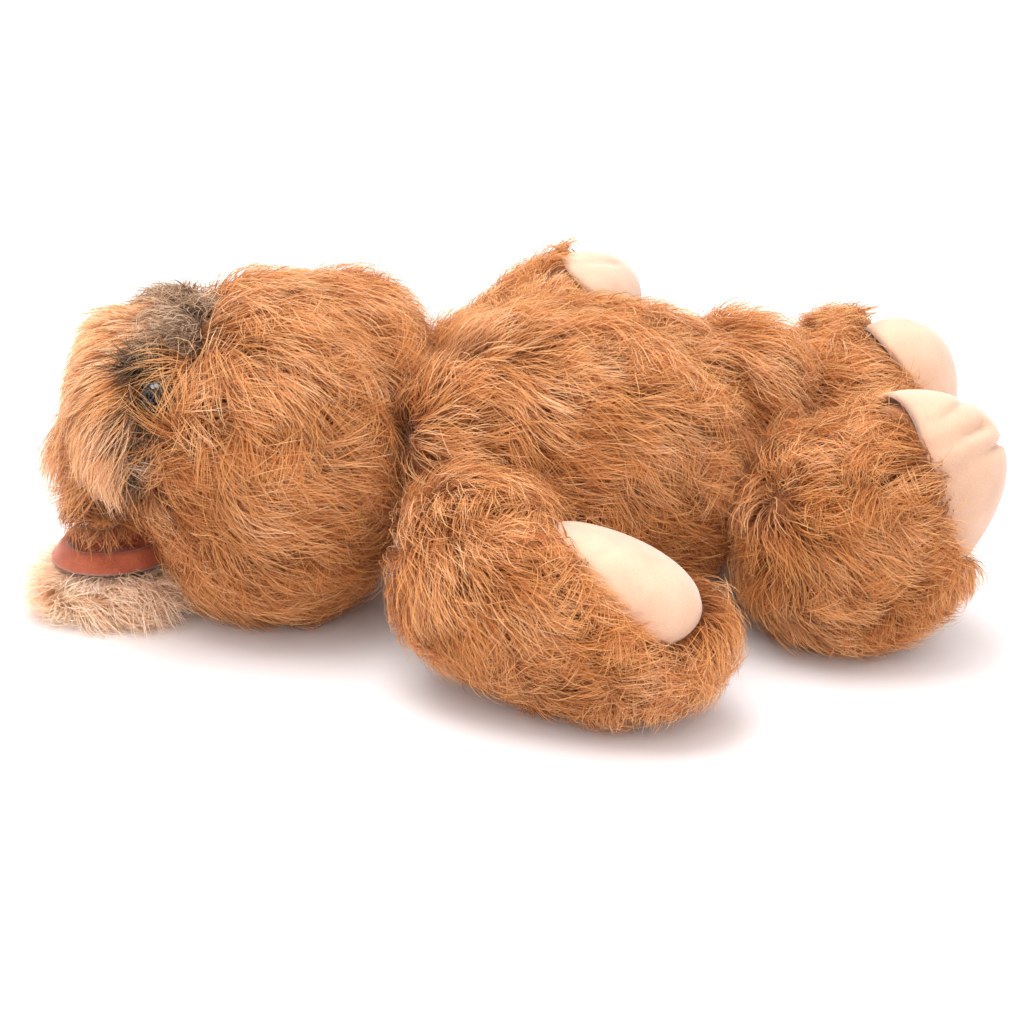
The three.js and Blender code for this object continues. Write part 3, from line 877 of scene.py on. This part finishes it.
def ribbons(name, paths, up, shape, tone):
    count = len(paths)
    tangent = unit(np.gradient(paths, axis=1))
    across = unit(np.cross(tangent, up[:, None]))
    lean = unit(np.cross(across, tangent))
    twist = rng.normal(size=(count, 1, 1)) * pileSpread["twist"]
    across = unit(across * np.cos(twist) + lean * np.sin(twist))
    t = np.linspace(0, 1, rows + 1)[:rows]
    wide = (shape["width"] * (1 - t ** 1.5) + shape["tipWidth"] * t ** 1.5) * mm / 2
    wide = wide[None, :, None] * rng.uniform(
        pileSpread["thinnest"], pileSpread["thickest"], (count, 1, 1))
    perFibre = 2 * rows + 1
    verts = np.empty((count, perFibre, 3))
    verts[:, 0:2 * rows:2] = paths[:, :rows] - across[:, :rows] * wide
    verts[:, 1:2 * rows:2] = paths[:, :rows] + across[:, :rows] * wide
    verts[:, -1] = paths[:, rows]
    pattern = []
    for i in range(rows - 1):
        pattern += [2 * i, 2 * i + 1, 2 * i + 3, 2 * i + 2]
    pattern = np.array(pattern + [2 * rows - 2, 2 * rows - 1, 2 * rows])
    loops = ((np.arange(count) * perFibre)[:, None] + pattern[None]).ravel()
    sizes = np.tile([4] * (rows - 1) + [3], count)
    mesh = bpy.data.meshes.new(name)
    mesh.vertices.add(count * perFibre)
    mesh.vertices.foreach_set("co", verts.ravel())
    mesh.loops.add(len(loops))
    mesh.loops.foreach_set("vertex_index", loops)
    mesh.polygons.add(len(sizes))
    mesh.polygons.foreach_set("loop_start", np.concatenate([[0], np.cumsum(sizes)[:-1]]))
    mesh.polygons.foreach_set("use_smooth", np.ones(len(sizes), bool))
    mesh.update()
    heights = np.append(np.repeat(t, 2), 1.0)
    uv = np.empty((count, len(pattern), 2))
    uv[..., 0] = tone[:, None]
    uv[..., 1] = heights[pattern][None] * 0.98 + 0.01
    mesh.uv_layers.new(name=pileUv).data.foreach_set("uv", uv.ravel())
    return linkObject(name, mesh)


def steady(x, y, z):
    return lambda points, normal: np.zeros_like(points) + np.array([x, y, z])


# Torso: pile brushed from the neck to the rump, falling away down the flanks.
torsoPlan = {
    "brushed": (1.0, 0, 0),
    "flankFall": (-0.2, 0, -0.7),
    "flankGain": 1.3,
    "flankFrom": 0.2,
    "spacing": 1.1,
    "bellySpacing": 1.7,
    "paintedLightSlope": 1.6,  # painted top light: paler with height, per metre
    "shadeLevel": 0.075,  # height of the middle shade
}


# painted top light: the pile's tone rises with height, as if lit from above
def heightPaintedLight(plan):
    return lambda points: plan["paintedLightSlope"] * (points[:, 2] - plan["shadeLevel"])


def torsoFlow(points, normal):
    flank = np.abs(normal[:, 1:2]) * torsoPlan["flankGain"] - torsoPlan["flankFrom"]
    return np.array([torsoPlan["brushed"]]) + np.clip(flank, 0, 1) * np.array(
        [torsoPlan["flankFall"]])


torsoPaintedLight = heightPaintedLight(torsoPlan)
torsoMiddle = nodeBox("belly_panel")
torsoMiddle = (torsoMiddle[0][1] + torsoMiddle[1][1]) / 2
bellySeam = nodeBox("belly_panel")[1][2]
growPile("back_pile_left", "torso", skins["torso"], "brownPile", "brown_pile", torsoFlow,
         lambda p: (p[:, 1] < torsoMiddle) & (p[:, 2] > bellySeam), ["back_panel_left"],
         torsoPaintedLight, spacing=torsoPlan["spacing"])
growPile("back_pile_right", "torso", skins["torso"], "brownPile", "brown_pile", torsoFlow,
         lambda p: (p[:, 1] >= torsoMiddle) & (p[:, 2] > bellySeam), ["back_panel_right"],
         torsoPaintedLight, spacing=torsoPlan["spacing"])
growPile("belly_pile", "torso", skins["torso"], "brownPile", "brown_pile", torsoFlow,
         lambda p: p[:, 2] <= bellySeam, ["belly_panel"], torsoPaintedLight,
         spacing=torsoPlan["bellySpacing"])
growPile("neck_pile", "neck", skins["neck"], "brownPile", "brown_pile", steady(0.3, 0, -0.4),
         lambda p: p[:, 2] > 0, length=24.0, lift=85.0, bodyRadius=90.0)

# Head: pile fans back from the face over the crown and cheeks, and forward down the snout.
headPlan = {
    "turned": 8.0,  # degrees the face is turned to its right
    "bandEdges": [  # height, then front and back edge before the neck, all in mm
        (72, -121.0, -120.5), (82, -122.5, -119.0), (95, -122.5, -117.5),
        (105, -122.5, -112.0), (115, -119.5, -108.0), (125, -114.0, -98.0),
        (135, -105.0, -86.0), (145, -98.0, -79.0)],
    "ragged": 4.0,  # mm the edges wander
    "eyeGap": 9.5,  # mm of bare backing round the middle of an eye
    "eyeVeil": 0.2,  # share of fibres left lying across an eye
    "noseGap": 6.5,
    "lipFoot": 49.0,  # no pile on the mouth side of the lip
    "faceCentre": (-38.0, 0.0, 30.0),  # mm from the head's middle: where the pile parts
    "crownLean": (0.55, 0, -0.25),
    "snoutLean": (-0.38, 0, -0.95),
    "snoutFan": 0.2,
    "browFrom": 0.105,  # height where the brow's pile starts to be clipped, metres
    "browOver": 0.03,
    "browTrim": 0.5,
    "paintedLightSlope": 1.3,
    "shadeLevel": 0.085,
}
snoutTone = {"paintedLightSlope": 0.9, "shadeLevel": -0.21}  # low enough to make it pale all over; its slope is painted top light
# crownFrom and crownSlope: painted top light on the band; eyeDark and eyeReach: darker round the
# eyes
bandTone = {"base": 0.04, "crownFrom": 0.122, "crownSlope": 9.0, "eyeDark": 0.5, "eyeReach": 15}
neckAt = jointAt("neck_turn")
headTurn = math.radians(headPlan["turned"])
headAxis = np.array([math.cos(headTurn), math.sin(headTurn), 0.0])
headSide = np.array([-headAxis[1], headAxis[0], 0.0])
headLow, headHigh = nodeBox("head_panel_left", "head_panel_right")
headMiddle = (headLow + headHigh) / 2
eyeMiddles = [np.mean(nodeBox(f"eye_{s}"), axis=0) for s in ("left", "right")]
noseMiddle = np.mean(nodeBox("nose"), axis=0)


def bandShare(points):
    # 0 at the band's front edge, 1 at its back edge
    ahead = (points - neckAt) @ headAxis / mm
    ahead = ahead + headPlan["ragged"] * smoothNoise(points, 14 * mm, 3, 1)[:, 0]
    heights, fronts, backs = np.array(headPlan["bandEdges"]).T
    front = np.interp(points[:, 2] / mm, heights, fronts)
    back = np.interp(points[:, 2] / mm, heights, backs)
    return (ahead - front) / (back - front)


def headSideOf(points):
    return (points - neckAt) @ headSide


def clearOfEyes(points):
    gaps = [np.linalg.norm(points - e, axis=1) for e in eyeMiddles]
    return np.minimum(*gaps) > headPlan["eyeGap"] * mm


def faceShows(paths):
    # leaves a few fibres across each eye, and bares the nose
    gaps = [np.linalg.norm(paths - e, axis=-1).min(1) for e in eyeMiddles]
    shown = np.minimum(*gaps) > headPlan["eyeGap"] * mm
    shown = shown | (rng.random(len(paths)) < headPlan["eyeVeil"])
    noseGap = np.linalg.norm(paths - noseMiddle, axis=-1).min(1)
    return shown & (noseGap > headPlan["noseGap"] * mm)


def snoutTrim(points):
    brow = np.clip((points[:, 2] - headPlan["browFrom"]) / headPlan["browOver"], 0, 1)
    return 1 - headPlan["browTrim"] * brow


def crownFlow(points, normal):
    parting = headMiddle + np.array(headPlan["faceCentre"]) * mm
    return unit(points - parting) + np.array([headPlan["crownLean"]])


def snoutFlow(points, normal):
    return np.array([headPlan["snoutLean"]]) + headPlan["snoutFan"] * unit(points - headMiddle)


# painted top light: crown and snout pile paler with height; the snout's pile is also paler all
# over
headPaintedLight = heightPaintedLight(headPlan)
snoutPaleAndPaintedLight = heightPaintedLight(snoutTone)


# band pile paler towards the crown, which is painted top light, and darker round the eyes
def bandToneWithPaintedLight(points):
    gaps = [np.linalg.norm(points - e, axis=1) for e in eyeMiddles]
    nearEye = np.exp(-(np.minimum(*gaps) / (bandTone["eyeReach"] * mm)) ** 2)
    crown = np.clip(points[:, 2] - bandTone["crownFrom"], 0, 1)
    return bandTone["base"] + bandTone["crownSlope"] * crown - bandTone["eyeDark"] * nearEye


for side, out in (("left", -1), ("right", 1)):
    growPile(f"head_pile_{side}", "head", skins["head"], "brownPile", "brown_pile", crownFlow,
             lambda p: (bandShare(p) > 1) & (headSideOf(p) * out > 0), [f"head_panel_{side}"],
             headPaintedLight, clear=faceShows, length=29.0, lift=57.0, spacing=1.08)
    growPile(f"snout_pile_{side}", "head", skins["head"], "brownPile", "brown_pile", snoutFlow,
             lambda p: (bandShare(p) < 0.1) & (headSideOf(p) * out > 0),
             [f"snout_panel_{side}"], snoutPaleAndPaintedLight, trim=snoutTrim, clear=faceShows, length=29.0,
             lift=48.0, bodyRadius=90.0, tipLift=14.0, stray=0.22, wander=0.35)
growPile("band_pile", "head", skins["head"], "bandPile", "band_pile", steady(-0.1, 0, -0.6),
         lambda p: (bandShare(p) >= 0) & (bandShare(p) <= 1) & clearOfEyes(p), ["eye_band"],
         bandToneWithPaintedLight, clear=faceShows, length=19.0, lift=74.0, frizz=2.4, stray=0.7, spacing=0.8,
         clumpSpacing=3.0)
# the lip's pile uses the darkened pile colours: painted shade under the snout
growPile("lip_pile", "head", skins["lip"], "lipPileInShade", "brown_pile", steady(-0.9, 0, -0.45),
         lambda p: p[:, 2] > headPlan["lipFoot"] * mm, length=16.0, lift=40.0, bodyRadius=80.0,
         clumpSpacing=3.5)

# Jaw: pale pile hanging from the mouth seam to the floor.
jawPlan = {"spread": 0.9, "fall": (-0.1, 0, -0.9), "seamDrop": 6.0}  # seamDrop in mm
jawLow, jawHigh = nodeBox("jaw_panel")
jawMiddle = (jawLow + jawHigh) / 2


def jawFlow(points, normal):
    return unit(points - jawMiddle) * jawPlan["spread"] + np.array([jawPlan["fall"]])


growPile("jaw_pile", "jaw", skins["jaw"], "creamPile", "cream_pile", jawFlow,
         lambda p: p[:, 2] < jawHigh[2] - jawPlan["seamDrop"] * mm, ["jaw_panel"],
         length=23.0, lift=56.0, bodyRadius=60.0, spacing=0.95, clumpSpacing=4.0)
print("head pile ready")

# Arms and legs: pile runs down each limb and turns away from the velour pads.
limbPlan = {
    "arm": {"lean": (0.1, 0, -0.45), "bodyRadius": 44.0, "left": 25.0, "right": 18.0,
            "tipFrom": 0.022, "tipOver": 0.02, "tipTrim": 0.6},
    "leg": {"flow": (0.7, 0.0, -0.45), "bodyRadius": 52.0, "length": 23.0,
            "heelFrom": 0.145, "heelOver": 0.05, "heelHeight": 0.06, "heelDrop": 0.03,
            "heelTrim": 0.65},
}


def legTrim(points):
    # the pile is clipped short under the heel
    leg = limbPlan["leg"]
    rear = np.clip((points[:, 0] - leg["heelFrom"]) / leg["heelOver"], 0, 1)
    under = np.clip((leg["heelHeight"] - points[:, 2]) / leg["heelDrop"], 0, 1)
    return 1 - leg["heelTrim"] * rear * under


def growArm(side):
    plan = limbPlan["arm"]
    palm = pads[f"palm_{side}"]
    arm = f"arm_{side}"
    reach = unit((palm["middle"] - jointAt(f"shoulder_{side}_swing"))[None])

    def armFlow(points, normal):
        return reach + np.array([plan["lean"]]) + 0 * points

    def armTrim(points):
        past = (points - palm["middle"]) @ reach[0] - plan["tipFrom"]
        return 1 - plan["tipTrim"] * np.clip(past / plan["tipOver"], 0, 1)

    low, high = nodeBox(f"{arm}_back_panel")
    seam = (low[2] + high[2]) / 2
    for panel, above in (("back", True), ("front", False)):
        growPile(f"{arm}_{panel}_pile", arm, skins[arm], "brownPile", "brown_pile", armFlow,
                 lambda p: (p[:, 2] > seam) == above, [f"{arm}_{panel}_panel"], pad=palm,
                 trim=armTrim, length=plan[side], bodyRadius=plan["bodyRadius"])


def growLeg(side, out):
    plan = limbPlan["leg"]
    leg = f"leg_{side}"
    low, high = nodeBox(f"{leg}_outer_panel", f"{leg}_inner_panel")
    middle = (low[1] + high[1]) / 2
    for panel, way in (("outer", out), ("inner", -out)):
        growPile(f"{leg}_{panel}_pile", leg, skins[leg], "brownPile", "brown_pile",
                 steady(*plan["flow"]), lambda p: (p[:, 1] - middle) * way > 0,
                 [f"{leg}_{panel}_panel"], pad=pads[f"sole_{side}"], trim=legTrim,
                 length=plan["length"], bodyRadius=plan["bodyRadius"])


for side, out in (("left", -1), ("right", 1)):
    growArm(side)
    growLeg(side, out)
print("limb pile ready")
